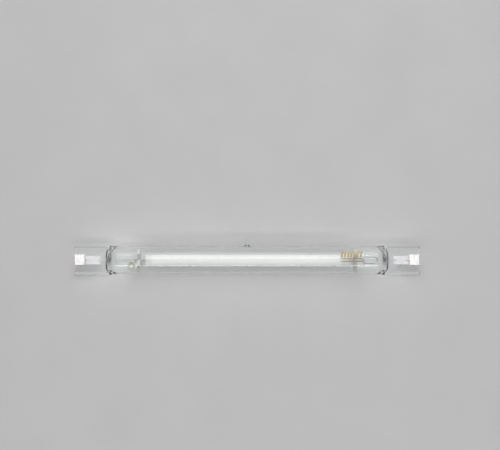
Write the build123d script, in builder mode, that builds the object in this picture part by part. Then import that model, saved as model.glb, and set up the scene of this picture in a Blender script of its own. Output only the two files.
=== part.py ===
from build123d import *

import math
import os

# Double-ended ceramic metal halide bulb, 1000 W class, for clip-in end holders.
# Millimetres. X runs along the bulb and Z is square to the flat pinch seals. The
# origin is on the bulb's axis, midway between the end contacts.
# Pieces are made at the +X end, and most of them are mirrored for the other end.

# Outer bulb: a clear quartz tube, pressed flat at both ends
bulb_length = 393.0  # over both end contacts
tube_diameter = 32.0
tube_wall = 1.7
shoulder_length = 12.0  # from the round tube to the flat pinch
shoulder_root_width = 34.5
shoulder_root_thickness = 5.0
shoulder_steps = 6
hollow_steps = 3
shoulder_glass = 1.5  # solid glass between the hollow's tip and the pinch
hollow_tip_width = 22.0
hollow_tip_thickness = 3.0

# Pinch seal: a ribbed web between two thick round-edged rims
pinch_length = 37.0
pinch_width = 37.5
web_thickness = 4.0
rim_width = 4.0
rim_thickness = 7.0
rim_corner_radius = 1.9
rim_end_chamfer = 1.2
rim_lead_in = 2.6  # slope from the shoulder out to the rim
pinch_overlap = 2.0  # how far web and rims run into the shoulder
rib_pitch = 2.3
rib_height = 0.3
rib_margin = 1.2  # plain web before the first rib
rib_to_rim = 0.6

# Exhaust tip: the sealed-off pumping stem at mid-length
tip_base_radius = 3.6
tip_end_radius = 1.9
tip_height = 8.0

# End contact: a nickel strip folded over the end of the web
contact_proud = 0.7  # how far it stands past the glass
contact_length = 12.2
contact_width = 12.0
contact_sheet = 0.8
contact_bend_radius = 0.6  # inside the fold
contact_corner = 1.6
contact_clearance = 0.05
landing_margin = 0.6  # flat glass around the contact's edges
notch_depth = 0.9  # from the contact's end wall to the glass

# Foil and leads sealed in the pinch
seal_gap = 0.02
foil_length = 16.5
foil_width = 9.5
foil_thickness = 0.1
foil_to_contact = 1.4
weld_overlap = 3.0
lead_radius = 0.6

# Arc tube: sintered alumina, closed by a bored plug at each end
arc_tube_length = 230.0
arc_tube_diameter = 12.5
arc_tube_wall = 1.0
arc_tube_chamfer = 0.3
plug_length = 6.5
plug_recess = 0.5

# Feedthrough: a niobium tube, closed outside and necked onto the electrode inside
feedthrough_radius = 1.5
feedthrough_wall = 0.3
feedthrough_end_wall = 1.0
feedthrough_chamfer = 0.6
feedthrough_neck_length = 3.0
feedthrough_inner_reach = 1.5  # past the plug, into the arc tube
left_feedthrough_reach = 13.0  # past the arc tube's end
right_feedthrough_reach = 18.0
frit_width = 1.5
frit_height = 0.9
frit_lip = 0.2

# Electrodes
electrode_radius = 0.6
electrode_reach = 12.0  # from the plug to the tip
coil_length = 4.0
coil_wire_diameter = 0.9  # sets the wall of the sleeve that stands for the turns
coil_setback = 1.5  # from the electrode's tip to the coil

# Centring springs: a thin strip bent into two lobes, from the feedthrough to the glass
spring_width = 3.6
spring_thickness = 0.25
spring_to_arc_tube = 5.9
spring_lobes = 2
spring_seat_width = 1.2  # flat against the feedthrough between two lobes
spring_lobe_width = 7.0
spring_lobe_reach = 7.0  # from the axis to the lobe's widest place
spring_foot_width = 2.2
spring_foot_gap = 0.1
spring_foot_radius = 1.0

# Left inner lead: steps aside to lie along the feedthrough
lead_step_start = 4.7  # from the pinch, into the bulb
lead_step_length = 6.0
lead_to_spring = 0.4

# Expansion strap: a strip loop that takes up the arc tube's growth
loop_length = 16.8
loop_height = 7.4
loop_width = 5.0
loop_strip = 0.3
loop_tube_pass = 1.4  # how far the feedthrough reaches into the loop
loop_lead_pass = 2.5

# Getter: a ring on a strip, beside the left inner lead
getter_radius = 4.3
getter_hole_radius = 2.3
getter_height = 1.6
getter_to_arc_tube = 16.3
getter_to_lead = 0.3
stem_width = 1.6
stem_thickness = 0.3

# Places that several pieces share
tube_radius = tube_diameter / 2
bore_radius = tube_radius - tube_wall
contact_end_x = bulb_length / 2
contact_inner_x = contact_end_x - contact_length
end_wall_x = contact_end_x - contact_sheet
notch_x = end_wall_x - notch_depth
glass_end_x = contact_end_x - contact_proud
pinch_x = glass_end_x - pinch_length
shoulder_x = pinch_x - shoulder_length
hollow_tip_x = pinch_x - shoulder_glass
web_half = web_thickness / 2
foil_outer_x = contact_inner_x - foil_to_contact
foil_inner_x = foil_outer_x - foil_length
lead_z = foil_thickness / 2 + seal_gap + lead_radius
arc_tube_end_x = arc_tube_length / 2
arc_bore_radius = arc_tube_diameter / 2 - arc_tube_wall
plug_outer_x = arc_tube_end_x - plug_recess
plug_inner_x = plug_outer_x - plug_length
feedthrough_inner_x = plug_inner_x - feedthrough_inner_reach
right_feedthrough_end_x = arc_tube_end_x + right_feedthrough_reach
left_feedthrough_end_x = -(arc_tube_end_x + left_feedthrough_reach)
electrode_tip_x = plug_inner_x - electrode_reach
spring_inner_x = arc_tube_end_x + spring_to_arc_tube
spring_outer_x = spring_inner_x + spring_width
loop_start_x = right_feedthrough_end_x - loop_tube_pass
loop_end_x = loop_start_x + loop_length


def cylinder_along_x(radius, start_x, end_x, z=0.0, mode=Mode.ADD):
    """Add or cut a round bar along X in the part being built."""
    with BuildSketch(Plane.YZ.offset(start_x)) as section:
        with Locations((0, z)):
            Circle(radius)
    extrude(section.sketch, amount=end_x - start_x, mode=mode)


def shoulder_sections(start_x, end_x, start_radius, end_width, end_thickness, steps):
    """Sections from a round one to a flat one along a dome-like curve, to loft through."""
    sections = []
    for step in range(steps + 1):
        share = step / steps
        roundness = math.cos(share * math.pi / 2)
        half_width = end_width / 2 + (start_radius - end_width / 2) * roundness
        half_height = end_thickness / 2 + (start_radius - end_thickness / 2) * roundness
        with BuildSketch(Plane.YZ.offset(start_x + (end_x - start_x) * share)) as section:
            Ellipse(half_width, half_height)
        sections.append(section.sketch)
    return sections


# Ribbed web of the pinch, solid, with a flat landing for the contact
rib_start_x = pinch_x + rib_margin
rib_count = int((glass_end_x - rib_start_x) // rib_pitch)
rib_end_x = rib_start_x + rib_count * rib_pitch
rim_y = (pinch_width - rim_width) / 2
pinch_start_x = pinch_x - pinch_overlap
rim_length = glass_end_x - pinch_start_x
landing_x = contact_inner_x - landing_margin
landing_width = contact_width + 2 * landing_margin

with BuildPart() as web:
    with Locations(((pinch_start_x + glass_end_x) / 2, 0, 0)):
        Box(rim_length, 2 * rim_y, web_thickness)
    with BuildSketch(Plane.XZ):
        with BuildLine():
            Polyline((rib_end_x, web_half), (rib_end_x, 0), (rib_start_x, 0), (rib_start_x, web_half))
            for rib in range(rib_count):
                rib_x = rib_start_x + rib * rib_pitch
                Polyline(
                    (rib_x, web_half),
                    (rib_x + rib_pitch / 2, web_half + rib_height),
                    (rib_x + rib_pitch, web_half),
                )
        make_face()
        mirror(about=Plane.XZ)
    extrude(amount=rim_y - rim_width / 2 - rib_to_rim, both=True)
    for face in (1, -1):
        with Locations(((landing_x + glass_end_x) / 2, 0, face * (web_half + rib_height))):
            Box(glass_end_x - landing_x, landing_width, 2 * rib_height, mode=Mode.SUBTRACT)

# Thick rims along both sides of the web
with BuildPart() as rims:
    with BuildSketch(Plane.YZ.offset(pinch_start_x)):
        with Locations((rim_y, 0), (-rim_y, 0)):
            RectangleRounded(rim_width, rim_thickness, rim_corner_radius)
    extrude(amount=rim_length)
    with BuildSketch(Plane.XY) as plan:
        with Locations(((pinch_start_x + glass_end_x) / 2, 0)):
            Rectangle(rim_length, pinch_width)
        chamfer(plan.vertices().group_by(Axis.X)[-1], rim_end_chamfer)
        chamfer(plan.vertices().group_by(Axis.X)[0], rim_lead_in)
    extrude(amount=rim_thickness, both=True, mode=Mode.INTERSECT)
    with BuildSketch(Plane.XZ) as side_view:
        with Locations(((pinch_start_x + glass_end_x) / 2, 0)):
            Rectangle(rim_length, rim_thickness)
        chamfer(side_view.vertices().group_by(Axis.X)[-1], rim_end_chamfer)
    extrude(amount=pinch_width, both=True, mode=Mode.INTERSECT)

with BuildPart() as right_pinch:
    add(web.part)
    add(rims.part)

# Outer bulb: tube, shoulders, pinches and exhaust tip are one piece of quartz
tip_root_y = tube_radius - tube_wall / 2
tip_top_y = tube_radius + tip_height

with BuildPart() as outer_bulb:
    cylinder_along_x(tube_radius, -shoulder_x, shoulder_x)
    for side in (1, -1):
        outer_sections = shoulder_sections(
            side * shoulder_x,
            side * pinch_x,
            tube_radius,
            shoulder_root_width,
            shoulder_root_thickness,
            shoulder_steps,
        )
        loft(outer_sections)
    add(right_pinch.part)
    mirror(right_pinch.part, about=Plane.YZ)
    with BuildSketch(Plane.XY):
        with BuildLine():
            Polyline(
                (0, tip_top_y),
                (0, tip_root_y),
                (tip_base_radius, tip_root_y),
                (tip_end_radius, tip_top_y - tip_end_radius),
            )
            RadiusArc(
                (tip_end_radius, tip_top_y - tip_end_radius),
                (0, tip_top_y),
                -tip_end_radius,
            )
        make_face()
    revolve(axis=Axis.Y)

    # Hollow inside, up to the pinches
    cylinder_along_x(bore_radius, -shoulder_x, shoulder_x, mode=Mode.SUBTRACT)
    for side in (1, -1):
        hollow_sections = shoulder_sections(
            side * shoulder_x,
            side * hollow_tip_x,
            bore_radius,
            hollow_tip_width,
            hollow_tip_thickness,
            hollow_steps,
        )
        loft(hollow_sections, ruled=True, mode=Mode.SUBTRACT)

    # End notches for the contacts, and room for the foils and leads
    for side in (1, -1):
        with Locations((side * (notch_x + glass_end_x) / 2, 0, 0)):
            Box(
                glass_end_x - notch_x,
                contact_width + 2 * contact_clearance,
                rim_thickness,
                mode=Mode.SUBTRACT,
            )
        with Locations((side * (foil_inner_x + foil_outer_x) / 2, 0, 0)):
            Box(
                foil_length + 2 * seal_gap,
                foil_width + 2 * seal_gap,
                foil_thickness + 2 * seal_gap,
                mode=Mode.SUBTRACT,
            )
        cylinder_along_x(
            lead_radius + seal_gap,
            side * (hollow_tip_x - shoulder_glass),
            side * (foil_inner_x + weld_overlap + seal_gap),
            z=lead_z,
            mode=Mode.SUBTRACT,
        )
        cylinder_along_x(
            lead_radius + seal_gap,
            side * (foil_outer_x - weld_overlap - seal_gap),
            side * glass_end_x,
            z=lead_z,
            mode=Mode.SUBTRACT,
        )

# Contact: a strip folded into a channel, its corners cut off
cheek_z = web_half + contact_clearance

with BuildPart() as contact:
    with BuildSketch(Plane.XZ):
        with BuildLine():
            FilletPolyline(
                (contact_inner_x, cheek_z),
                (end_wall_x, cheek_z),
                (end_wall_x, -cheek_z),
                (contact_inner_x, -cheek_z),
                radius=contact_bend_radius,
            )
            offset(amount=contact_sheet, side=Side.LEFT)
        make_face()
    extrude(amount=contact_width / 2, both=True)
    with BuildSketch(Plane.XY) as blank:
        with Locations(((contact_inner_x + contact_end_x) / 2, 0)):
            Rectangle(contact_length, contact_width)
        chamfer(blank.vertices(), contact_corner)
    extrude(amount=cheek_z + contact_sheet, both=True, mode=Mode.INTERSECT)

# Foil seal and the leads welded to it
with BuildPart() as seal_foil:
    with Locations(((foil_inner_x + foil_outer_x) / 2, 0, 0)):
        Box(foil_length, foil_width, foil_thickness)

with BuildPart() as outer_lead:
    cylinder_along_x(lead_radius, foil_outer_x - weld_overlap, end_wall_x - seal_gap, z=lead_z)

with BuildPart() as right_inner_lead:
    cylinder_along_x(lead_radius, foil_inner_x + weld_overlap, loop_end_x - loop_lead_pass, z=lead_z)

# Left inner lead: steps aside beside the feedthrough, and ends short of the spring
beside_distance = feedthrough_radius + seal_gap + lead_radius
lead_beside_y = -math.sqrt(beside_distance**2 - lead_z**2)
step_start_x = -(pinch_x - lead_step_start)
step_end_x = step_start_x + lead_step_length

with BuildPart() as left_inner_lead:
    with BuildLine() as lead_path:
        Polyline(
            (-(foil_inner_x + weld_overlap), 0, lead_z),
            (step_start_x, 0, lead_z),
            (step_end_x, lead_beside_y, lead_z),
            (-(spring_outer_x + lead_to_spring), lead_beside_y, lead_z),
        )
    with BuildSketch(Plane(lead_path.line @ 0, z_dir=lead_path.line % 0)):
        Circle(lead_radius)
    sweep(transition=Transition.RIGHT)

# Arc tube
with BuildPart() as arc_tube:
    cylinder_along_x(arc_tube_diameter / 2, -arc_tube_end_x, arc_tube_end_x)
    chamfer(arc_tube.edges().filter_by(GeomType.CIRCLE), arc_tube_chamfer)
    cylinder_along_x(arc_bore_radius, -arc_tube_end_x, arc_tube_end_x, mode=Mode.SUBTRACT)

with BuildPart() as end_plug:
    cylinder_along_x(arc_bore_radius - seal_gap, plug_inner_x, plug_outer_x)
    cylinder_along_x(feedthrough_radius + seal_gap, plug_inner_x, plug_outer_x, mode=Mode.SUBTRACT)

# Feedthroughs, one shorter than the other
neck_x = feedthrough_inner_x + feedthrough_neck_length


def feedthrough_bore(side, end_x):
    """Hollow a feedthrough behind its neck, and bore the neck for the electrode."""
    cylinder_along_x(
        feedthrough_radius - feedthrough_wall,
        side * neck_x,
        end_x - side * feedthrough_end_wall,
        mode=Mode.SUBTRACT,
    )
    cylinder_along_x(
        electrode_radius + seal_gap,
        side * feedthrough_inner_x,
        side * neck_x,
        mode=Mode.SUBTRACT,
    )


with BuildPart() as right_niobium_tube:
    cylinder_along_x(feedthrough_radius, feedthrough_inner_x, right_feedthrough_end_x)
    chamfer(right_niobium_tube.edges().group_by(Axis.X)[-1], feedthrough_chamfer)
    feedthrough_bore(1, right_feedthrough_end_x)

with BuildPart() as left_niobium_tube:
    cylinder_along_x(feedthrough_radius, -feedthrough_inner_x, left_feedthrough_end_x)
    chamfer(left_niobium_tube.edges().group_by(Axis.X)[0], feedthrough_chamfer)
    feedthrough_bore(-1, left_feedthrough_end_x)

# Frit: the sealing glass, a low cone around the feedthrough
frit_x = plug_outer_x + seal_gap
frit_inner = feedthrough_radius + seal_gap

with BuildPart() as frit_ring:
    with BuildSketch(Plane.XZ):
        with BuildLine():
            Polyline(
                (frit_x, frit_inner),
                (frit_x, frit_inner + frit_width),
                (frit_x + frit_height, frit_inner + frit_lip),
                (frit_x + frit_height, frit_inner),
                close=True,
            )
        make_face()
    revolve(axis=Axis.X)

# Electrodes: a tungsten rod in the feedthrough's neck, with a sleeve of the coil's outer size
coil_start_x = electrode_tip_x + coil_setback
coil_inner = electrode_radius + seal_gap

with BuildPart() as electrode_rod:
    cylinder_along_x(electrode_radius, electrode_tip_x, neck_x)

with BuildPart() as electrode_coil:
    cylinder_along_x(coil_inner + coil_wire_diameter, coil_start_x, coil_start_x + coil_length)
    cylinder_along_x(coil_inner, coil_start_x, coil_start_x + coil_length, mode=Mode.SUBTRACT)

# Centring spring: one closed strip, its lobes on the glass, its seats on the feedthrough
seat_distance = feedthrough_radius + seal_gap + spring_thickness
foot_distance = bore_radius - spring_foot_gap
lobe_angle = 360 / spring_lobes
spring_corners = []
spring_radii = []
for lobe in range(spring_lobes):
    seat_turn = (lobe - 0.5) * lobe_angle
    lobe_turn = lobe * lobe_angle
    for turn, along, across, radius in (
        (seat_turn, seat_distance, spring_seat_width / 2, 0),
        (lobe_turn, spring_lobe_reach, -spring_lobe_width / 2, 0),
        (lobe_turn, foot_distance, -spring_foot_width / 2, spring_foot_radius),
        (lobe_turn, foot_distance, spring_foot_width / 2, spring_foot_radius),
        (lobe_turn, spring_lobe_reach, spring_lobe_width / 2, 0),
        (seat_turn + lobe_angle, seat_distance, -spring_seat_width / 2, 0),
    ):
        spring_corners.append(Vector(along, across).rotate(Axis.Z, turn))
        spring_radii.append(radius)

with BuildPart() as support_spring:
    with BuildSketch(Plane.YZ.offset(spring_inner_x)):
        with BuildLine():
            FilletPolyline(*spring_corners, radius=spring_radii, close=True)
        make_face()
        offset(amount=-spring_thickness, mode=Mode.SUBTRACT)
    extrude(amount=spring_width)

# Expansion strap, with the feedthrough and the lead through its ends
with BuildPart() as expansion_strap:
    with BuildSketch(Plane.XY):
        with Locations(((loop_start_x + loop_end_x) / 2, 0)):
            SlotOverall(loop_length, loop_height)
            SlotOverall(
                loop_length - 2 * loop_strip,
                loop_height - 2 * loop_strip,
                mode=Mode.SUBTRACT,
            )
    extrude(amount=loop_width / 2, both=True)
    cylinder_along_x(
        feedthrough_radius + seal_gap,
        loop_start_x,
        loop_start_x + loop_height / 2,
        mode=Mode.SUBTRACT,
    )
    cylinder_along_x(
        lead_radius + seal_gap,
        loop_end_x,
        loop_end_x - loop_height / 2,
        z=lead_z,
        mode=Mode.SUBTRACT,
    )

# Getter ring on its strip, which is welded under the left inner lead
getter_x = -(arc_tube_end_x + getter_to_arc_tube)
getter_y = lead_beside_y - lead_radius - getter_to_lead - getter_radius
getter_z = lead_z - lead_radius - seal_gap
stem_end_y = lead_beside_y + lead_radius

with BuildPart() as getter_ring:
    with BuildSketch(Plane.XY.offset(getter_z)):
        with Locations((getter_x, getter_y)):
            Circle(getter_radius)
            Circle(getter_hole_radius, mode=Mode.SUBTRACT)
    extrude(amount=getter_height)
    with BuildSketch(Plane.XY.offset(getter_z)):
        with Locations((getter_x, (getter_y - getter_radius + stem_end_y) / 2)):
            Rectangle(stem_width, stem_end_y - getter_y + getter_radius)
    extrude(amount=-stem_thickness)

# Write every piece, with the mirrored ones for the left end
os.makedirs("parts", exist_ok=True)

for name, piece in (
    ("outer_bulb", outer_bulb),
    ("arc_tube", arc_tube),
    ("right_niobium_tube", right_niobium_tube),
    ("left_niobium_tube", left_niobium_tube),
    ("right_inner_lead", right_inner_lead),
    ("left_inner_lead", left_inner_lead),
    ("expansion_strap", expansion_strap),
    ("getter_ring", getter_ring),
):
    piece.part.label = name
    export_step(piece.part, f"parts/{name}.step")

for name, piece in (
    ("contact", contact),
    ("seal_foil", seal_foil),
    ("outer_lead", outer_lead),
    ("end_plug", end_plug),
    ("frit_ring", frit_ring),
    ("electrode_rod", electrode_rod),
    ("electrode_coil", electrode_coil),
    ("support_spring", support_spring),
):
    with BuildPart() as mirrored:
        mirror(piece.part, about=Plane.YZ)
    piece.part.label = f"right_{name}"
    mirrored.part.label = f"left_{name}"
    export_step(piece.part, f"parts/right_{name}.step")
    export_step(mirrored.part, f"parts/left_{name}.step")
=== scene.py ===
"""Double-ended ceramic metal halide bulb, lying level on a plain floor.

Lengths are in millimetres in the row frame, except the lamps' places and sizes, which are in metres.
"""

import math

import bmesh
import bpy
import numpy as np
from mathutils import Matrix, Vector


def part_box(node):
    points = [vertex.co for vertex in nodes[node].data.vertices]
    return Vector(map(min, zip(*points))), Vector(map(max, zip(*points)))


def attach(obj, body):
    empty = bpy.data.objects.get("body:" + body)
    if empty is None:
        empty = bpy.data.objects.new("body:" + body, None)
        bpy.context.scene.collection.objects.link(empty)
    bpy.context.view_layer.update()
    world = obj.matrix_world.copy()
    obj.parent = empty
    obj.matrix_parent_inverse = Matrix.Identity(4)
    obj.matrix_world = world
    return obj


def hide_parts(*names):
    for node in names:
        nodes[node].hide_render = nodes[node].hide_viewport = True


MM = 0.001  # turns the row frame's millimetres into the scene's metres

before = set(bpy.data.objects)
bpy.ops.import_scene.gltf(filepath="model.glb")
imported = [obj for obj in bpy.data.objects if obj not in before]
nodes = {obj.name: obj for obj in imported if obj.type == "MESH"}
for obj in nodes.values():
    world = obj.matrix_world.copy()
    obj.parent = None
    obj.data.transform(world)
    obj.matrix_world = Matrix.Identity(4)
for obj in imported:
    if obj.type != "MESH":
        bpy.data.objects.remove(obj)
bpy.context.view_layer.update()


def box_mm(node):
    """Lowest and highest corner of a CAD node, in millimetres."""
    low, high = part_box(node)
    return low / MM, high / MM


# Outer bulb, read from the frame
bulb_low, bulb_high = box_mm("outer_bulb")
glass_end_x = bulb_high.x
pinch_half_width = -bulb_low.y
tube_radius = bulb_high.z
exhaust_top_y = bulb_high.y

# Outer bulb, shaped as in part.py
tube_wall = 1.7
bore_radius = tube_radius - tube_wall
pinch_length = 37.0
shoulder_length = 12.0
pinch_x = glass_end_x - pinch_length
shoulder_x = pinch_x - shoulder_length
shoulder_glass = 1.5
hollow_tip_x = pinch_x - shoulder_glass
root_half_width = 17.25
root_half_height = 2.5
hollow_tip_half_width = 11.0
hollow_tip_half_height = 1.5
hollow_tip_round = 0.7
web_half = 2.0
rim_half = 3.5
rim_width = 4.0
rim_lead_in = 2.6
pinch_overlap = 2.0
rim_start_x = pinch_x - pinch_overlap
end_round = 1.2

# Softer forms of the glass, which part.py leaves plain
rim_lead_in_blend = 1.5
rim_to_dome_blend = 1.0
rim_foot_inward = 0.7  # the foot of each rim spreads this far over the web
rim_foot_outward = 0.9
rim_edge_power = 2.5  # 2 would give the rims a round outer edge
rim_wave = 0.16
rim_wave_pitch = 5.3
flat_rise_before = 2.5  # the flat rises out of the dome about the rims' start
flat_rise_after = 0.5
dome_run_on = 1.3  # where the dome's curve ends under the web, in shoulder lengths
dome_fillet = 1.8  # soft corner between the dome and the web
dome_fillet_margin = 2.0  # the corner grows between these distances from the shoulder's ends
dome_bulge = 1.2  # how far the dome's edge swells onto the web at mid-width
least_blend = 1e-6

# Ribs pressed into the web, crossed by a faint second pattern
rib_pitch = 2.3
rib_height = 0.36  # its crests average 0.3, as in part.py, after the second pattern
rib_margin = 1.2
rib_start_x = pinch_x + rib_margin
rib_end_margin = 1.3
rib_end_x = glass_end_x - rib_end_margin
rib_fade = 0.8
rib_half_span = 14.15
rib_side_fade = 1.2
waffle_pitch = 2.3
waffle_share = 0.35

# End notches and flat landings for the contacts
contact_low, contact_high = box_mm("right_contact")
landing_margin = 0.6
landing_x = contact_low.x - landing_margin
landing_half = contact_high.y + landing_margin
landing_fade = 1.0
notch_depth = 1.0
notch_x = glass_end_x - notch_depth
notch_clearance = 0.3
notch_half = contact_high.y + notch_clearance

# Exhaust tip
tip_root_depth = 1.3
tip_root_y = tube_radius - tip_root_depth
tip_neck_radius = 2.05
tip_flare = 2.3
tip_flare_fall = 1.15
tip_flare_limit = 3.4
tip_top_gap = 0.02  # keeps the top inside the solid's box

# Bore of the exhaust tip: (height, radius) pairs up to the point where it was sealed
tip_bore = (
    (bore_radius - 1.2, 0),
    (bore_radius - 1.2, 2.1),
    (tube_radius - 0.6, 1.5),
    (tube_radius + 1.0, 0.9),
    (tube_radius + 2.6, 0.4),
    (tube_radius + 3.4, 0),
)

# How finely the glass is divided
ring_points = 216
hollow_ring_points = 120
near_tip_x = 9.0
near_tip_step = 1.0
tube_rings = 18
shoulder_rings = 31
pinch_step = 0.29
rounded_end_rings = 7
hollow_tube_rings = 12
hollow_end_rings = 25
tip_side_rings = 16
tip_top_rings = 9
tip_segments = 40
tip_bore_segments = 24

# Welding and shading
weld_distance = 0.001
bevel_from_degrees = 50
bevel_flat_weight = 80  # how strongly large faces set the shading of the edges between them
glass_crease_degrees = 50
arc_crease_degrees = 35


def weld(mesh):
    """Join points that coincide, and turn the normals outwards."""
    work = bmesh.new()
    work.from_mesh(mesh)
    bmesh.ops.remove_doubles(work, verts=work.verts, dist=weld_distance * MM)
    bmesh.ops.recalc_face_normals(work, faces=work.faces)
    work.to_mesh(mesh)
    work.free()


def mesh_object(name, vertices, faces):
    """A mesh from points in millimetres, its normals facing out."""
    mesh = bpy.data.meshes.new(name)
    points = np.asarray(vertices, float) * MM
    mesh.from_pydata(points.tolist(), [], faces)
    weld(mesh)
    piece = bpy.data.objects.new(name, mesh)
    bpy.context.scene.collection.objects.link(piece)
    return piece


def shade(piece, sharp_degrees=40):
    """Smooth shading, with creases where faces meet at more than the angle."""
    piece.data.shade_smooth()
    piece.data.set_sharp_from_angle(angle=math.radians(sharp_degrees))


def apply_modifiers(piece):
    """Bake a piece's modifiers into its mesh."""
    bpy.context.view_layer.update()
    evaluated = piece.evaluated_get(bpy.context.evaluated_depsgraph_get())
    mesh = bpy.data.meshes.new_from_object(evaluated)
    piece.modifiers.clear()
    piece.data = mesh


def join_by_union(base, tool):
    """Fuse a second closed mesh onto the first, and remove it."""
    union = base.modifiers.new("union", "BOOLEAN")
    union.operation = "UNION"
    union.solver = "EXACT"
    union.object = tool
    apply_modifiers(base)
    bpy.data.objects.remove(tool)


def round_edges(piece, width):
    """Bevel a piece's hard edges, and keep its flats looking flat."""
    bevel = piece.modifiers.new("bevel", "BEVEL")
    bevel.width = width * MM
    bevel.segments = 2
    bevel.limit_method = "ANGLE"
    bevel.angle_limit = math.radians(bevel_from_degrees)
    apply_modifiers(piece)
    shade(piece)
    level = piece.modifiers.new("level", "WEIGHTED_NORMAL")
    level.keep_sharp = True
    level.weight = bevel_flat_weight
    apply_modifiers(piece)


def add_piece(piece, material, replaced):
    """Fix a piece in the frame, in the place of a CAD node."""
    piece.data.materials.clear()
    piece.data.materials.append(material)
    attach(piece, "root")
    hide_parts(replaced)


def smooth_max(a, b, blend):
    """The larger of two, blended where they are nearly equal."""
    near = np.maximum(blend - np.abs(a - b), 0) / blend
    return np.maximum(a, b) + near * near * blend / 4


def smooth_min(a, b, blend):
    """The smaller of two, blended in the same way."""
    return -smooth_max(-a, -b, blend)


def smooth_step(start, end, value):
    """0 up to the start, 1 past the end, and smooth between them."""
    share = np.clip((value - start) / (end - start), 0, 1)
    return share * share * (3 - 2 * share)


def quarter_round(start, radius, value):
    """How far a rounded edge of this radius falls away, past its start."""
    share = np.clip((value - start) / radius, 0, 1)
    return radius * (1 - np.sqrt(1 - share * share))


# Shape of the quartz: its half width along the bulb and its half height over its width
def glass_half_width(x):
    """Half width at each place along the bulb, and that of the dome alone."""
    along = abs(x)
    share = min(max((along - shoulder_x) / shoulder_length, 0), 1)
    dome = root_half_width + (tube_radius - root_half_width) * math.cos(share * math.pi / 2)
    ramp = pinch_half_width - rim_lead_in + along - rim_start_x
    rim = smooth_min(ramp, pinch_half_width, rim_lead_in_blend)
    wave = 0.5 + 0.5 * math.sin(2 * math.pi * x / rim_wave_pitch) * math.cos(x)
    rim = rim - rim_wave * wave - quarter_round(glass_end_x - end_round, end_round, along)
    if along < pinch_x + rim_lead_in:
        rim = smooth_max(dome, rim, rim_to_dome_blend)
    return float(rim), dome


def rib_relief(x, y):
    """Height of the pressed pattern above the web."""
    along = abs(x)
    wave = (0.5 - 0.5 * math.cos(2 * math.pi * (along - rib_start_x) / rib_pitch)) ** 2
    waffle = 1 - waffle_share * (0.5 + 0.5 * np.cos(2 * math.pi * y / waffle_pitch))
    ends = smooth_step(rib_start_x, rib_start_x + rib_fade, along)
    ends = ends * (1 - smooth_step(rib_end_x - rib_fade, rib_end_x, along))
    sides = 1 - smooth_step(rib_half_span - rib_side_fade, rib_half_span, np.abs(y))
    past = smooth_step(landing_x - rib_fade, landing_x, along)
    beside = smooth_step(landing_half, landing_half + landing_fade, np.abs(y))
    return rib_height * wave * waffle * ends * sides * (1 - past * (1 - beside))


def glass_half_height(x, y, half_width, dome_half_width):
    """Half height over a row of points across the bulb."""
    along = abs(x)
    across = np.abs(y)
    swell = dome_bulge * (1 - (y / half_width) ** 2) * smooth_step(shoulder_x, pinch_x, along)
    share = np.clip((along - swell - shoulder_x) / shoulder_length, 0, dome_run_on)
    crown = root_half_height + (tube_radius - root_half_height) * np.cos(share * math.pi / 2)
    dome = crown * np.sqrt(np.clip(1 - (y / dome_half_width) ** 2, 0, 1))

    foot = half_width - rim_width
    rim = smooth_step(foot - rim_foot_inward, foot + rim_foot_outward, across)
    flat = web_half + rib_relief(x, y)
    flat = flat + (rim_half - flat) * rim
    closing = np.clip((across - half_width + rim_width / 2) / (rim_width / 2), 0, 1)
    flat = flat * (1 - closing**rim_edge_power) ** (1 / rim_edge_power)
    rise = smooth_step(rim_start_x - flat_rise_before, rim_start_x + flat_rise_after, along)
    flat = flat * float(rise)
    limit = rim_half - quarter_round(glass_end_x - end_round, end_round, along)
    growth = smooth_step(shoulder_x + dome_fillet_margin, pinch_x - dome_fillet_margin, along)
    blend = least_blend + dome_fillet * float(growth)
    return smooth_max(dome, np.minimum(flat, limit), blend)


def half_stations():
    """Places along one half of the bulb where the glass gets a ring of points."""
    near_tip = np.arange(0, near_tip_x, near_tip_step)
    tube = np.linspace(near_tip_x, shoulder_x, tube_rings)[1:]
    shoulder = np.linspace(shoulder_x, pinch_x, shoulder_rings)[1:]
    web = np.arange(pinch_x + pinch_step, glass_end_x - end_round, pinch_step)
    turns = np.linspace(0, math.pi / 2, rounded_end_rings)
    rounded_end = glass_end_x - end_round + end_round * np.sin(turns)
    return np.unique(np.concatenate([near_tip, tube, shoulder, web, rounded_end, [notch_x]]))


def ring_faces(ring_count, points):
    """Quads between each ring and the next."""
    faces = []
    for ring in range(ring_count - 1):
        for point in range(points):
            after = (point + 1) % points
            start = ring * points
            faces.append((start + point, start + after, start + points + after, start + points + point))
    return faces


def quartz_skin():
    """The outer surface, closed at both ends."""
    half = half_stations()
    stations = np.concatenate([-half[:0:-1], half])
    turns = np.arange(ring_points) * 2 * math.pi / ring_points
    # 1 above, -1 below, and 0 at the two edges
    side = np.sign(np.sin(turns).round(9))
    rings = []
    for x in stations:
        half_width, dome_half_width = glass_half_width(x)
        y = half_width * np.cos(turns)
        z = side * glass_half_height(x, y, half_width, dome_half_width)
        rings.append(np.column_stack([np.full(ring_points, x), y, z]))

    # Past each notch's floor, the rings stop at it
    left_floor = np.argmin(np.abs(stations + notch_x))
    right_floor = np.argmin(np.abs(stations - notch_x))
    for floor_ring, beyond in (
        (left_floor, range(left_floor)),
        (right_floor, range(right_floor + 1, len(rings))),
    ):
        in_notch = np.abs(rings[floor_ring][:, 1]) < notch_half
        for ring in beyond:
            rings[ring][in_notch] = rings[floor_ring][in_notch]

    faces = ring_faces(len(rings), ring_points)
    for start in (0, (len(rings) - 1) * ring_points):
        for point in range(ring_points // 2):
            corners = (point, point + 1, -point - 1, -point)
            faces.append(tuple(dict.fromkeys(start + corner % ring_points for corner in corners)))
    return np.concatenate(rings), faces


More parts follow.
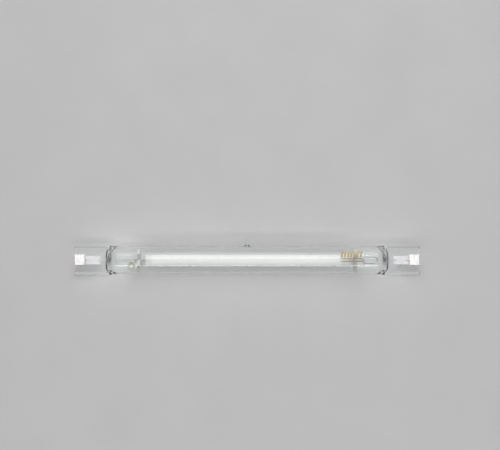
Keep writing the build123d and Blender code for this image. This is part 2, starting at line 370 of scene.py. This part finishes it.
def hollow_skin():
    """The hollow inside, with a flat rounded tip at each end."""
    shares = np.linspace(0, 1, hollow_end_rings)
    straight = np.linspace(0, shoulder_x, hollow_tube_rings)
    curved = shoulder_x + (hollow_tip_x - shoulder_x) * np.sin(shares[1:] * math.pi / 2)
    half = np.concatenate([straight, curved])
    stations = np.concatenate([-half[:0:-1], half])
    turns = np.arange(hollow_ring_points) * 2 * math.pi / hollow_ring_points
    rings = []
    for x in stations:
        share = min(max((abs(x) - shoulder_x) / (hollow_tip_x - shoulder_x), 0), 1)
        roundness = math.cos(share * math.pi / 2)
        closing = (abs(x) - hollow_tip_x + hollow_tip_round) / hollow_tip_round
        closing = math.sqrt(1 - min(max(closing, 0), 1) ** 2)
        half_width = hollow_tip_half_width + (bore_radius - hollow_tip_half_width) * roundness
        half_height = hollow_tip_half_height + (bore_radius - hollow_tip_half_height) * roundness
        y = half_width * closing * np.cos(turns)
        z = half_height * closing * np.sin(turns)
        rings.append(np.column_stack([np.full(hollow_ring_points, x), y, z]))
    return np.concatenate(rings), ring_faces(len(rings), hollow_ring_points)


def lathe(profile, segments, axis="X", centre=(0, 0, 0), closed=False):
    """Turn (place along the axis, radius) pairs about the axis."""
    pairs = list(profile)
    if closed:
        pairs.append(pairs[0])
    points = []
    for along, radius in pairs:
        for segment in range(segments):
            turn = 2 * math.pi * segment / segments
            a = radius * math.cos(turn)
            b = radius * math.sin(turn)
            point = {"X": (along, a, b), "Y": (a, along, b), "Z": (a, b, along)}[axis]
            points.append(Vector(point) + Vector(centre))
    return points, ring_faces(len(pairs), segments)


def exhaust_profile():
    """Outline of the pinched-off stem: flared where it leaves the tube, round on top."""
    rounded_from = exhaust_top_y - tip_neck_radius
    profile = [(tip_root_y, 0)]
    for y in np.linspace(tip_root_y, rounded_from, tip_side_rings):
        flare = tip_flare * math.exp(-(y - tube_radius) / tip_flare_fall)
        profile.append((y, tip_neck_radius + min(flare, tip_flare_limit)))
    for turn in np.linspace(0, math.pi / 2, tip_top_rings)[1:]:
        height = rounded_from + (tip_neck_radius - tip_top_gap) * math.sin(turn)
        profile.append((height, tip_neck_radius * math.cos(turn)))
    return profile


def make_quartz():
    """One closed mesh: the outer surface, and the hollow's surface facing inwards."""
    outer = mesh_object("quartz_bulb", *quartz_skin())
    stem = mesh_object("stem", *lathe(exhaust_profile(), tip_segments, axis="Y"))
    join_by_union(outer, stem)
    hollow = mesh_object("hollow", *hollow_skin())
    bore = mesh_object("bore", *lathe(tip_bore, tip_bore_segments, axis="Y"))
    join_by_union(hollow, bore)
    work = bmesh.new()
    work.from_mesh(hollow.data)
    bmesh.ops.reverse_faces(work, faces=work.faces)
    work.from_mesh(outer.data)
    work.to_mesh(outer.data)
    work.free()
    bpy.data.objects.remove(hollow)
    shade(outer, glass_crease_degrees)
    return outer


# Strips and wires
def rounded_path(corners, radii, closed=False, steps=8):
    """A path through corners, each rounded with an arc of its own radius."""
    path = []
    for index, radius in enumerate(radii):
        corner = Vector(corners[index])
        if radius == 0:
            path.append(corner)
            continue
        back = (Vector(corners[index - 1]) - corner).normalized()
        ahead = (Vector(corners[(index + 1) % len(corners)]) - corner).normalized()
        half = back.angle(ahead) / 2
        centre = corner + (back + ahead).normalized() * radius / math.sin(half)
        start = (corner + back * radius / math.tan(half) - centre).normalized()
        end = (corner + ahead * radius / math.tan(half) - centre).normalized()
        for step in range(steps + 1):
            path.append(centre + start.slerp(end, step / steps) * radius)
    return path


def resampled(path, step):
    """The same path with points at most this far apart."""
    points = [path[0]]
    for start, end in zip(path, path[1:]):
        pieces = max(1, math.ceil((end - start).length / step))
        points.extend(start.lerp(end, part / pieces) for part in range(1, pieces + 1))
    return points


def strip(name, path, thickness, half_width, place, closed=False):
    """Bent sheet: a path with the sheet on its left, half_width(point) wide to each side.

    place turns (along u, along v, across) into a point in the row frame."""
    count = len(path)
    vertices = []
    for index, point in enumerate(path):
        before = path[index - 1] if closed or index > 0 else point
        after = path[(index + 1) % count] if closed or index < count - 1 else point
        direction = (after - before).normalized()
        inner = point + Vector((-direction.y, direction.x)) * thickness
        wide = half_width(point)
        for corner, across in ((point, -wide), (point, wide), (inner, wide), (inner, -wide)):
            vertices.append(place(corner.x, corner.y, across))
    rings = count + 1 if closed else count
    faces = []
    for ring in range(rings - 1):
        start = 4 * ring
        end = 4 * ((ring + 1) % count)
        for corner in range(4):
            after = (corner + 1) % 4
            faces.append((start + corner, start + after, end + after, end + corner))
    if not closed:
        faces.append((0, 1, 2, 3))
        faces.append(tuple(4 * (count - 1) + corner for corner in range(4)))
    return mesh_object(name, vertices, faces)


def wire(name, path, radius, resolution=5):
    """A round wire along a path, its ends closed."""
    curve = bpy.data.curves.new(name, "CURVE")
    curve.dimensions = "3D"
    curve.bevel_depth = radius * MM
    curve.bevel_resolution = resolution
    curve.use_fill_caps = True
    spline = curve.splines.new("POLY")
    spline.points.add(len(path) - 1)
    for point, place in zip(spline.points, path):
        point.co = (*(Vector(place) * MM), 1)
    holder = bpy.data.objects.new(name, curve)
    bpy.context.scene.collection.objects.link(holder)
    bpy.context.view_layer.update()
    evaluated = holder.evaluated_get(bpy.context.evaluated_depsgraph_get())
    mesh = bpy.data.meshes.new_from_object(evaluated)
    bpy.data.objects.remove(holder)
    weld(mesh)
    piece = bpy.data.objects.new(name, mesh)
    bpy.context.scene.collection.objects.link(piece)
    return piece


# Materials: tones, optics and how noise is spread
noise_low = 0.3  # most of a noise's values lie between these two
noise_high = 0.7
tone_low = 0.35  # a material has its first tone below this, and its second above tone_high
tone_high = 0.65
cloud_share = 0.35  # the tones' noise is this much coarser than the grain
relief_strength = 0.35
quartz_ior = 1.458
quartz_tint = (0.965, 0.98, 0.972)
alumina_ior = 1.76
alumina_tones = ((0.76, 0.76, 0.745), (0.81, 0.81, 0.80))
# painted shade: the darker colour over the plugs stands in for less light coming through the thicker
# ceramic
plug_painted_shade_tone = (0.68, 0.675, 0.66)
plug_shade_blur = 1.0  # half the width of the change to the duller ends


def new_material(name):
    """An empty node material with an output, and a function to add its nodes."""
    material = bpy.data.materials.new(name)
    material.use_nodes = True
    tree = material.node_tree
    tree.nodes.clear()
    output = tree.nodes.new("ShaderNodeOutputMaterial")

    def add(kind, **values):
        node = tree.nodes.new(kind)
        for key, value in values.items():
            if key in node.inputs:
                node.inputs[key].default_value = value
            else:
                setattr(node, key, value)
        return node

    return material, tree.links, add, output


def noise(links, add, scale, stretch=(1, 1, 1), detail=4.0):
    """Noise in the row frame, drawn out along an axis where stretch is below 1."""
    place = add("ShaderNodeTexCoord")
    mapping = add("ShaderNodeMapping")
    mapping.inputs["Scale"].default_value = stretch
    links.new(place.outputs["Object"], mapping.inputs["Vector"])
    texture = add("ShaderNodeTexNoise", Scale=scale, Detail=detail, Roughness=0.55)
    links.new(mapping.outputs["Vector"], texture.inputs["Vector"])
    return texture.outputs["Fac"]


def ranged(links, add, value, low, high):
    """A 0 to 1 value spread over a range."""
    spread = add("ShaderNodeMapRange")
    spread.inputs["From Min"].default_value = noise_low
    spread.inputs["From Max"].default_value = noise_high
    spread.inputs["To Min"].default_value = low
    spread.inputs["To Max"].default_value = high
    links.new(value, spread.inputs["Value"])
    return spread.outputs["Result"]


def two_tone(links, add, value, first, second):
    """A colour that runs from the first to the second with the value."""
    ramp = add("ShaderNodeValToRGB")
    ramp.color_ramp.elements[0].position = tone_low
    ramp.color_ramp.elements[0].color = (*first, 1)
    ramp.color_ramp.elements[1].position = tone_high
    ramp.color_ramp.elements[1].color = (*second, 1)
    links.new(value, ramp.inputs["Fac"])
    return ramp.outputs["Color"]


def bump(links, add, value, strength, distance):
    """Small relief from a value, distance in millimetres."""
    node = add("ShaderNodeBump", Strength=strength, Distance=distance * MM)
    links.new(value, node.inputs["Height"])
    return node.outputs["Normal"]


def solid_material(name, tones, metallic, rough, scale, stretch=(1, 1, 1), relief=0.02):
    """Metal or ceramic: two tones, uneven gloss and fine relief from one noise each."""
    material, links, add, output = new_material(name)
    shader = add("ShaderNodeBsdfPrincipled", Metallic=metallic)
    cloud = noise(links, add, scale * cloud_share)
    grain = noise(links, add, scale, stretch, detail=6.0)
    links.new(two_tone(links, add, cloud, *tones), shader.inputs["Base Color"])
    links.new(ranged(links, add, grain, *rough), shader.inputs["Roughness"])
    links.new(bump(links, add, grain, relief_strength, relief), shader.inputs["Normal"])
    links.new(shader.outputs["BSDF"], output.inputs["Surface"])
    return material


def glass_material():
    """Clear fused quartz that lets lamps through, faintly uneven where it was worked."""
    material, links, add, output = new_material("quartz_glass")
    shader = add("ShaderNodeBsdfPrincipled", Roughness=0.0, IOR=quartz_ior)
    shader.inputs["Transmission Weight"].default_value = 1.0
    shader.inputs["Base Color"].default_value = (*quartz_tint, 1)
    ripple = noise(links, add, scale=90.0, stretch=(0.25, 1, 1), detail=2.0)
    links.new(bump(links, add, ripple, strength=0.12, distance=0.25), shader.inputs["Normal"])
    clear = add("ShaderNodeBsdfTransparent")
    path = add("ShaderNodeLightPath")
    mix = add("ShaderNodeMixShader")
    links.new(path.outputs["Is Shadow Ray"], mix.inputs["Fac"])
    links.new(shader.outputs["BSDF"], mix.inputs[1])
    links.new(clear.outputs["BSDF"], mix.inputs[2])
    links.new(mix.outputs["Shader"], output.inputs["Surface"])
    return material


def ceramic_material():
    """Sintered alumina, with painted shade over the plugs, where less light comes through the thicker
    ceramic.
    """
    material, links, add, output = new_material("alumina")
    shader = add("ShaderNodeBsdfPrincipled", IOR=alumina_ior)
    shader.inputs["Subsurface Weight"].default_value = 0.35
    shader.inputs["Subsurface Scale"].default_value = 0.002
    shader.inputs["Subsurface Radius"].default_value = (1, 0.95, 0.9)
    place = add("ShaderNodeTexCoord")
    split = add("ShaderNodeSeparateXYZ")
    along = add("ShaderNodeMath", operation="ABSOLUTE")
    plug_shade_share = add("ShaderNodeMapRange", interpolation_type="SMOOTHSTEP")
    plug_start_x = box_mm("right_end_plug")[0].x
    plug_shade_share.inputs["From Min"].default_value = (plug_start_x - plug_shade_blur) * MM
    plug_shade_share.inputs["From Max"].default_value = (plug_start_x + plug_shade_blur) * MM
    links.new(place.outputs["Object"], split.inputs["Vector"])
    links.new(split.outputs["X"], along.inputs[0])
    links.new(along.outputs["Value"], plug_shade_share.inputs["Value"])
    grain = noise(links, add, scale=900.0, detail=6.0)
    tube_tone = two_tone(links, add, noise(links, add, scale=300.0), *alumina_tones)
    # painted shade: the darker plug colour is mixed in over both ends of the tube
    mix = add("ShaderNodeMixRGB", Color2=(*plug_painted_shade_tone, 1))
    links.new(plug_shade_share.outputs["Result"], mix.inputs["Fac"])
    links.new(tube_tone, mix.inputs["Color1"])
    links.new(mix.outputs["Color"], shader.inputs["Base Color"])
    links.new(ranged(links, add, grain, low=0.48, high=0.62), shader.inputs["Roughness"])
    links.new(bump(links, add, grain, relief_strength, distance=0.01), shader.inputs["Normal"])
    links.new(shader.outputs["BSDF"], output.inputs["Surface"])
    return material


glass = glass_material()
alumina = ceramic_material()
nickel = solid_material(
    "nickel", ((0.84, 0.825, 0.815), (0.92, 0.91, 0.9)),
    metallic=1.0, rough=(0.2, 0.38), scale=1400.0, stretch=(1, 0.06, 1),
)
molybdenum = solid_material(
    "molybdenum", ((0.58, 0.57, 0.58), (0.70, 0.69, 0.70)),
    metallic=1.0, rough=(0.25, 0.42), scale=1500.0, stretch=(0.05, 1, 1),
)
foil_metal = solid_material(
    "foil", ((0.76, 0.745, 0.765), (0.86, 0.845, 0.865)),
    metallic=1.0, rough=(0.34, 0.5), scale=1100.0, stretch=(0.2, 1, 1),
)
niobium = solid_material(
    "niobium", ((0.44, 0.44, 0.46), (0.56, 0.55, 0.54)),
    metallic=1.0, rough=(0.32, 0.5), scale=1300.0, stretch=(0.1, 1, 1),
)
tungsten = solid_material(
    "tungsten", ((0.28, 0.28, 0.30), (0.38, 0.38, 0.38)),
    metallic=1.0, rough=(0.4, 0.6), scale=1600.0,
)
spring_steel = solid_material(
    "spring_steel", ((0.42, 0.415, 0.41), (0.52, 0.515, 0.51)),
    metallic=1.0, rough=(0.38, 0.52), scale=1500.0, stretch=(0.1, 1, 1),
)
frit = solid_material(
    "frit", ((0.66, 0.61, 0.54), (0.78, 0.75, 0.70)),
    metallic=0.0, rough=(0.08, 0.2), scale=1800.0, relief=0.03,
)
getter_steel = solid_material(
    "getter_steel", ((0.36, 0.35, 0.33), (0.46, 0.45, 0.42)),
    metallic=1.0, rough=(0.22, 0.36), scale=1300.0,
)
getter_powder = solid_material(
    "getter_powder", ((0.40, 0.41, 0.34), (0.54, 0.55, 0.46)),
    metallic=0.2, rough=(0.6, 0.8), scale=2600.0, relief=0.06,
)
gold_ink = solid_material(
    "gold_ink", ((0.40, 0.30, 0.12), (0.52, 0.41, 0.20)),
    metallic=0.35, rough=(0.35, 0.55), scale=2200.0, relief=0.01,
)

# Quartz bulb
add_piece(make_quartz(), glass, "outer_bulb")

# Arc tube: round, its ends softened
arc_high = box_mm("arc_tube")[1]
arc_radius = arc_high.y
arc_wall = 1.0
arc_edge = 0.3
arc_outer_round = arc_edge * 0.9
arc_inner_round = arc_edge * 0.5
arc_segments = 96


def make_arc_tube():
    inner = arc_radius - arc_wall
    profile = []
    for end in (1, -1):
        x = end * arc_high.x
        edge_x = x - end * arc_edge
        corners = [(edge_x, arc_radius), (x, arc_radius), (x, inner), (edge_x, inner)]
        path = rounded_path(corners, (0, arc_outer_round, arc_inner_round, 0), steps=4)
        profile.extend(path if end > 0 else path[::-1])
    piece = mesh_object("ceramic_arc_tube", *lathe(profile, arc_segments, closed=True))
    shade(piece, arc_crease_degrees)
    return piece


add_piece(make_arc_tube(), alumina, "arc_tube")

# Both ends of the bulb: the sign of X, and the word in the pieces' names
both_ends = ((1, "right"), (-1, "left"))

# Electrode coils: tungsten wire in close turns
coil_wire_radius = 0.44
coil_turns = 3.4
coil_steps_per_turn = 24
coil_side_gap = 0.01
coil_end_gap = 0.02


def make_coil(side, node):
    low, high = box_mm(node)
    centre_radius = high.y - coil_wire_radius - coil_side_gap
    start = low.x + coil_wire_radius + coil_end_gap
    length = high.x - low.x - 2 * coil_wire_radius - 2 * coil_end_gap
    steps = int(coil_turns * coil_steps_per_turn)
    path = []
    for step in range(steps + 1):
        share = step / steps
        turn = side * 2 * math.pi * coil_turns * share
        y = centre_radius * math.cos(turn)
        z = centre_radius * math.sin(turn)
        path.append((start + length * share, y, z))
    piece = wire(f"{node}_turns", path, coil_wire_radius, resolution=3)
    shade(piece)
    return piece


for side, end in both_ends:
    add_piece(make_coil(side, f"{end}_electrode_coil"), tungsten, f"{end}_electrode_coil")

# Contacts: a nickel strip folded over the web, its corners rounded
contact_sheet = 0.8
contact_corner = 1.6
contact_bend = 1.2
contact_edge_round = 0.12
contact_side_gap = 0.01
contact_step = 0.25


def make_contact(side, node):
    low, high = box_mm(node)
    inner_x = min(abs(low.x), abs(high.x))
    end_x = max(abs(low.x), abs(high.x))
    cheek = high.z

    def half_width(point):
        from_end = min(point.x - inner_x, end_x - point.x)
        short = max(contact_corner - max(from_end, 0), 0)
        return high.y - contact_corner + math.sqrt(contact_corner**2 - short**2) - contact_side_gap

    corners = [(inner_x, -cheek), (end_x, -cheek), (end_x, cheek), (inner_x, cheek)]
    path = rounded_path(corners, (0, contact_bend, contact_bend, 0))
    path = resampled(path, contact_step)
    piece = strip(f"{node}_strip", path, contact_sheet, half_width, lambda u, v, w: (side * u, w, v))
    round_edges(piece, contact_edge_round)
    return piece


for side, end in both_ends:
    add_piece(make_contact(side, f"{end}_contact"), nickel, f"{end}_contact")

# Centring springs: a closed strip with rounded lobes
spring_thickness = 0.25
spring_seat = 1.79
spring_seat_half = 0.6
spring_seat_bend = 1.2
spring_lobe_reach = 7.0
spring_lobe_bend = 2.2
spring_foot_half = 1.1
spring_foot_bend = 1.0
spring_gap = 0.02


def make_spring(node):
    low, high = box_mm(node)
    middle_x = (low.x + high.x) / 2
    half_length = (high.x - low.x) / 2
    lobe_half = high.z - spring_gap
    foot = high.y - spring_gap
    quarter = [
        (spring_seat_half, -spring_seat, spring_seat_bend),
        (spring_lobe_reach, -lobe_half, spring_lobe_bend),
        (foot, -spring_foot_half, spring_foot_bend),
        (foot, spring_foot_half, spring_foot_bend),
        (spring_lobe_reach, lobe_half, spring_lobe_bend),
        (spring_seat_half, spring_seat, spring_seat_bend),
    ]
    turned = [(-u, -v, radius) for u, v, radius in quarter]
    corners = [(u, v) for u, v, _ in quarter + turned]
    path = rounded_path(corners, [radius for _, _, radius in quarter + turned], closed=True)
    piece = strip(
        f"{node}_strip", path, spring_thickness, lambda point: half_length,
        lambda u, v, w: (middle_x + w, u, v), closed=True,
    )
    shade(piece)
    return piece


for end in ("right", "left"):
    node = f"{end}_support_spring"
    add_piece(make_spring(node), spring_steel, node)

# Left inner lead: a wire that steps aside in two soft bends
lead_low, lead_high = box_mm("left_inner_lead")
lead_radius = (lead_high.z - lead_low.z) / 2
lead_bend = 4.0
lead_step_start_x = -154.1
lead_step_end_x = -148.1


def make_left_lead():
    z = (lead_low.z + lead_high.z) / 2
    beside_y = lead_low.y + lead_radius
    corners = [
        (lead_low.x, 0, z),
        (lead_step_start_x, 0, z),
        (lead_step_end_x, beside_y, z),
        (lead_high.x, beside_y, z),
    ]
    piece = wire("left_lead_wire", rounded_path(corners, (0, lead_bend, lead_bend, 0)), lead_radius)
    shade(piece)
    return piece


add_piece(make_left_lead(), molybdenum, "left_inner_lead")

# Getter: a steel channel ring filled with powder, on a strip under the lead
getter_low, getter_high = box_mm("getter_ring")
getter_radius = (getter_high.x - getter_low.x) / 2
getter_hole = 2.3
getter_sheet = 0.22
getter_fill = 0.3
getter_floor = 0.05
getter_gap = 0.01
getter_edge_round = 0.06
getter_segments = 64
powder_crown = 0.08
stem_half_width = 0.8
stem_overlap = 1.2
stem_edge_round = 0.05


def make_getter():
    centre = ((getter_low.x + getter_high.x) / 2, getter_low.y + getter_radius, 0)
    outer = getter_radius
    top = getter_high.z
    channel = [
        (getter_floor, getter_hole),
        (top, getter_hole),
        (top, getter_hole + getter_sheet),
        (getter_floor + getter_sheet, getter_hole + getter_sheet),
        (getter_floor + getter_sheet, outer - getter_sheet),
        (top, outer - getter_sheet),
        (top, outer),
        (getter_floor, outer),
    ]
    ring = mesh_object("getter_channel", *lathe(channel, getter_segments, "Z", centre, closed=True))
    round_edges(ring, getter_edge_round)
    powder_top = top - getter_fill
    powder_low = getter_floor + getter_sheet + getter_gap
    powder_inner = getter_hole + getter_sheet + getter_gap
    powder_outer = outer - getter_sheet - getter_gap
    powder = [
        (powder_low, powder_inner),
        (powder_top, powder_inner),
        (powder_top + powder_crown, (getter_hole + outer) / 2),
        (powder_top, powder_outer),
        (powder_low, powder_outer),
    ]
    fill = mesh_object("getter_fill", *lathe(powder, getter_segments, "Z", centre, closed=True))
    shade(fill)
    path = [
        Vector((getter_low.y + 2 * getter_radius - stem_overlap, getter_low.z)),
        Vector((getter_high.y, getter_low.z)),
    ]
    stem = strip(
        "getter_stem", path, getter_floor - getter_low.z - getter_gap, lambda point: stem_half_width,
        lambda u, v, w: (centre[0] + w, u, v),
    )
    round_edges(stem, stem_edge_round)
    return ring, fill, stem


for piece, finish in zip(make_getter(), (getter_steel, getter_powder, getter_steel)):
    add_piece(piece, finish, "getter_ring")

# Expansion strap: a strip loop with round ends
strap_low, strap_high = box_mm("expansion_strap")
strap_sheet = 0.3
strap_gap = 0.01


def make_strap():
    middle_x = (strap_low.x + strap_high.x) / 2
    half_length = (strap_high.x - strap_low.x) / 2
    half_height = strap_high.y
    corners = [
        (-half_length, -half_height),
        (half_length, -half_height),
        (half_length, half_height),
        (-half_length, half_height),
    ]
    path = rounded_path(corners, [half_height - strap_gap] * 4, closed=True)
    piece = strip(
        "strap_strip", path, strap_sheet, lambda point: strap_high.z,
        lambda u, v, w: (middle_x + u, v, w), closed=True,
    )
    shade(piece)
    return piece


add_piece(make_strap(), spring_steel, "expansion_strap")

# Ink mark on the tube: plain strokes over two thin lines, with no lettering
ink_height = 0.03
ink_steps = 10
mark_start_x = 105.0
mark_length = 25.0
stroke_count = 7
stroke_width = 2.1
stroke_slant = 1.6
stroke_low_degrees = 4.0
stroke_high_degrees = 29.0
line_low_degrees = (-3.0, -15.0)
line_degrees = 3.0


def ink_patch(name, start_x, end_x, low_degrees, high_degrees, slant):
    """A thin curved patch on the tube, leaning along X by its slant."""
    points = []
    for radius in (tube_radius - ink_height, tube_radius):
        for step in range(ink_steps + 1):
            share = step / ink_steps
            turn = math.radians(low_degrees + (high_degrees - low_degrees) * share)
            y = radius * math.sin(turn)
            z = radius * math.cos(turn)
            points.append((start_x + slant * share, y, z))
            points.append((end_x + slant * share, y, z))
    layer = 2 * (ink_steps + 1)
    faces = []
    for step in range(ink_steps):
        a = 2 * step
        faces.append((a, a + 1, a + 3, a + 2))
        faces.append((layer + a, layer + a + 2, layer + a + 3, layer + a + 1))
        faces.append((a, a + 2, layer + a + 2, layer + a))
        faces.append((a + 1, layer + a + 1, layer + a + 3, a + 3))
    faces.append((0, layer, layer + 1, 1))
    faces.append((layer - 2, layer - 1, 2 * layer - 1, 2 * layer - 2))
    piece = mesh_object(name, points, faces)
    piece.data.materials.append(gold_ink)
    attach(piece, "root")


for stroke in range(stroke_count):
    start = mark_start_x + stroke * (mark_length - stroke_width - stroke_slant) / (stroke_count - 1)
    ink_patch(
        f"ink_stroke_{stroke}", start, start + stroke_width,
        stroke_low_degrees, stroke_high_degrees, stroke_slant,
    )
for line, low_degrees in enumerate(line_low_degrees):
    ink_patch(
        f"ink_line_{line}", mark_start_x, mark_start_x + mark_length,
        low_degrees, low_degrees + line_degrees, 0,
    )

# CAD nodes that are shown as they are
for node, finish in (
    ("end_plug", alumina),
    ("frit_ring", frit),
    ("niobium_tube", niobium),
    ("electrode_rod", tungsten),
    ("outer_lead", molybdenum),
    ("seal_foil", foil_metal),
):
    for end in ("right", "left"):
        nodes[f"{end}_{node}"].data.materials[0] = finish
nodes["right_inner_lead"].data.materials[0] = molybdenum

# Floor, lights and world
floor_z = -tube_radius
floor_half = 3000.0
floor = mesh_object(
    "floor",
    [
        (-floor_half, -floor_half, floor_z),
        (floor_half, -floor_half, floor_z),
        (floor_half, floor_half, floor_z),
        (-floor_half, floor_half, floor_z),
    ],
    [(0, 1, 2, 3)],
)
floor_paint = solid_material(
    "floor_paint", ((0.64, 0.64, 0.64), (0.66, 0.66, 0.66)),
    metallic=0.0, rough=(0.75, 0.85), scale=40.0, relief=0.001,
)
floor.data.materials.append(floor_paint)


def softbox(name, place, width, height, power):
    """A rectangular lamp that faces the bulb: place and size in metres, power in watts."""
    lamp = bpy.data.lights.new(name, "AREA")
    lamp.shape = "RECTANGLE"
    lamp.size = width
    lamp.size_y = height
    lamp.energy = power
    holder = bpy.data.objects.new(name, lamp)
    bpy.context.scene.collection.objects.link(holder)
    holder.location = place
    aim = Vector((0, 0, 0)) - Vector(place)
    holder.rotation_euler = aim.to_track_quat("-Z", "Y").to_euler()


softbox("window", place=(0.0, 0.8, 1.3), width=1.3, height=1.6, power=10.5)
softbox("strip", place=(0.0, -1.1, 0.75), width=1.5, height=0.1, power=3.2)
softbox("side", place=(1.3, -0.3, 0.9), width=0.4, height=0.4, power=0.8)

# World: soft light from overhead, and the pale backdrop that camera, metal and glass see
light_overhead = 0.48
backdrop_at_horizon = 0.8
backdrop_overhead = 0.12  # darker than the horizon, so that pressed glass shows its ribs
horizon_ends = 0.15  # a direction's height, from 0 level to 1 straight up
overhead_starts = 0.75

world = bpy.data.worlds.new("studio")
bpy.context.scene.world = world
world.use_nodes = True
sky_tree = world.node_tree
sky_tree.nodes.clear()


def sky_math(operation, first, second, clamp=False):
    """One sum, difference or product in the world's nodes."""
    node = sky_tree.nodes.new("ShaderNodeMath")
    node.operation = operation
    node.use_clamp = clamp
    sky_tree.links.new(first, node.inputs[0])
    sky_tree.links.new(second, node.inputs[1])
    return node.outputs["Value"]


def by_height(height, at_horizon, overhead):
    """A strength that changes smoothly from the horizon to overhead."""
    rise = sky_tree.nodes.new("ShaderNodeMapRange")
    rise.interpolation_type = "SMOOTHSTEP"
    rise.inputs["From Min"].default_value = horizon_ends
    rise.inputs["From Max"].default_value = overhead_starts
    rise.inputs["To Min"].default_value = at_horizon
    rise.inputs["To Max"].default_value = overhead
    sky_tree.links.new(height, rise.inputs["Value"])
    return rise.outputs["Result"]


def make_sky():
    direction = sky_tree.nodes.new("ShaderNodeTexCoord")
    split = sky_tree.nodes.new("ShaderNodeSeparateXYZ")
    sky_tree.links.new(direction.outputs["Generated"], split.inputs["Vector"])
    height = split.outputs["Z"]
    path = sky_tree.nodes.new("ShaderNodeLightPath")
    seen = sky_math("ADD", path.outputs["Is Camera Ray"], path.outputs["Is Glossy Ray"])
    seen = sky_math("ADD", seen, path.outputs["Is Transmission Ray"], clamp=True)
    light = by_height(height, 0.0, light_overhead)
    backdrop = by_height(height, backdrop_at_horizon, backdrop_overhead)
    difference = sky_math("SUBTRACT", backdrop, light)
    strength = sky_math("ADD", light, sky_math("MULTIPLY", difference, seen))
    sky = sky_tree.nodes.new("ShaderNodeBackground")
    sky.inputs["Color"].default_value = (1, 1, 1, 1)
    sky_tree.links.new(strength, sky.inputs["Strength"])
    output = sky_tree.nodes.new("ShaderNodeOutputWorld")
    sky_tree.links.new(sky.outputs["Background"], output.inputs["Surface"])


make_sky()

# Camera: nearly overhead, as in the photo
photo_width_px = 500
scale_mm_per_px = 1.1418
lens = 85.0
sensor = 36.0
elevation = math.radians(80)
aim = Vector((3.4, 40.6, 0)) * MM
distance = photo_width_px * scale_mm_per_px * MM * lens / sensor
camera_data = bpy.data.cameras.new("camera")
camera_data.lens = lens
camera_data.sensor_width = sensor
camera = bpy.data.objects.new("camera", camera_data)
bpy.context.scene.collection.objects.link(camera)
camera.location = aim + Vector((0, -math.cos(elevation), math.sin(elevation))) * distance
camera.rotation_euler = (aim - camera.location).to_track_quat("-Z", "Y").to_euler()
bpy.context.scene.camera = camera
bpy.context.scene.view_settings.view_transform = "Standard"
